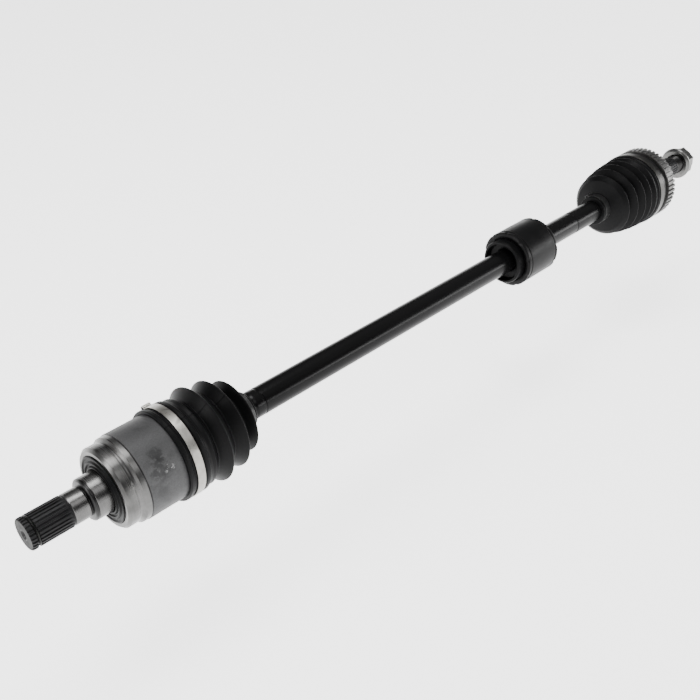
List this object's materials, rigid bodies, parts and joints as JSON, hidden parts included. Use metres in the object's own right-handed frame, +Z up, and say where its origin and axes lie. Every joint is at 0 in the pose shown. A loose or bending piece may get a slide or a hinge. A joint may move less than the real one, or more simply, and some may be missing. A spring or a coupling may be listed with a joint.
{
  "type": "front drive axle",
  "caption": "Front drive axle: a solid bar with a sliding tripod joint and a steering ball joint under rubber boots, splined at both ends.",
  "frame": {"origin": "on the bar's centre line, half way between the two stub ends", "axes": "+X along the axle towards the wheel end, +Z up, +Y to the rear"},
  "size_m": [0.945, 0.0862, 0.0862],
  "materials": {
    "bar_paint": "semi-gloss black",
    "damper_black": "satin black",
    "boot_rubber": "satin moulded",
    "phosphated_steel": "dark mottled phosphate with machined bands",
    "machined_steel": "fine turned",
    "clamp_steel": "bright band",
    "black_clamp": "black coated band",
    "bearing_steel": "ground and polished",
    "spring_steel": "black oxide",
    "tone_steel": "dull grey",
    "zinc_plated": "bright plated"
  },
  "bodies": {
    "shaft": {"shaft_bar": "bar_paint", "tripod_spider": "bearing_steel", "spider_snap_ring": "spring_steel", "needle_set_1": "bearing_steel", "needle_set_2": "bearing_steel", "needle_set_3": "bearing_steel", "roller_clip_1": "spring_steel", "roller_clip_2": "spring_steel", "roller_clip_3": "spring_steel", "inboard_small_clamp": "black_clamp", "outboard_small_clamp": "black_clamp", "damper_weight": "damper_black", "damper_sleeve": "boot_rubber", "inner_race": "bearing_steel", "inner_race_clip": "spring_steel"},
    "roller_1": {"roller_1": "bearing_steel"},
    "roller_2": {"roller_2": "bearing_steel"},
    "roller_3": {"roller_3": "bearing_steel"},
    "inboard_boot": {"inboard_boot": "boot_rubber"},
    "inboard_housing": {"inboard_housing": "phosphated_steel", "inboard_circlip": "spring_steel", "dust_seal_ring": "boot_rubber", "inboard_large_clamp": "clamp_steel"},
    "outboard_boot": {"outboard_boot": "boot_rubber"},
    "outer_race": {"outer_race": "machined_steel", "tone_ring": "tone_steel", "outboard_large_clamp": "clamp_steel", "hub_nut": "zinc_plated"},
    "ball_cage": {"ball_cage": "bearing_steel", "ball_1": "bearing_steel", "ball_2": "bearing_steel", "ball_3": "bearing_steel", "ball_4": "bearing_steel", "ball_5": "bearing_steel", "ball_6": "bearing_steel"}
  },
  "joints": [
    {"name": "roller_1_spin", "type": "hinge", "parent": "shaft", "child": "roller_1", "pos_m": [-0.3645, 0, 0], "axis": [0, 0, 1], "continuous": true},
    {"name": "roller_2_spin", "type": "hinge", "parent": "shaft", "child": "roller_2", "pos_m": [-0.3645, 0, 0], "axis": [0, -0.866, -0.5], "continuous": true},
    {"name": "roller_3_spin", "type": "hinge", "parent": "shaft", "child": "roller_3", "pos_m": [-0.3645, 0, 0], "axis": [0, 0.866, -0.5], "continuous": true},
    {"name": "inboard_bend", "type": "hinge", "parent": "shaft", "child": "inboard_boot", "pos_m": [-0.3645, 0, 0], "axis": [0, 1, 0], "range_deg": [-15, 15], "deforming": ["inboard_boot"]},
    {"name": "inboard_plunge", "type": "slide", "parent": "inboard_boot", "child": "inboard_housing", "axis": [1, 0, 0], "range_m": [-0.01, 0.01]},
    {"name": "outboard_travel", "type": "hinge", "parent": "shaft", "child": "outboard_boot", "pos_m": [0.3495, 0, 0], "axis": [0, 1, 0], "range_deg": [-12, 12], "deforming": ["outboard_boot"]},
    {"name": "outboard_steer", "type": "hinge", "parent": "outboard_boot", "child": "outer_race", "pos_m": [0.3495, 0, 0], "axis": [0, 0, 1], "range_deg": [-38, 38]},
    {"name": "cage_steer", "type": "hinge", "parent": "outboard_boot", "child": "ball_cage", "pos_m": [0.3495, 0, 0], "axis": [0, 0, 1], "range_deg": [-20, 20]}
  ],
  "couplings": [
    {"joint": "cage_steer", "follows": "outboard_steer", "ratio": 0.5}
  ]
}
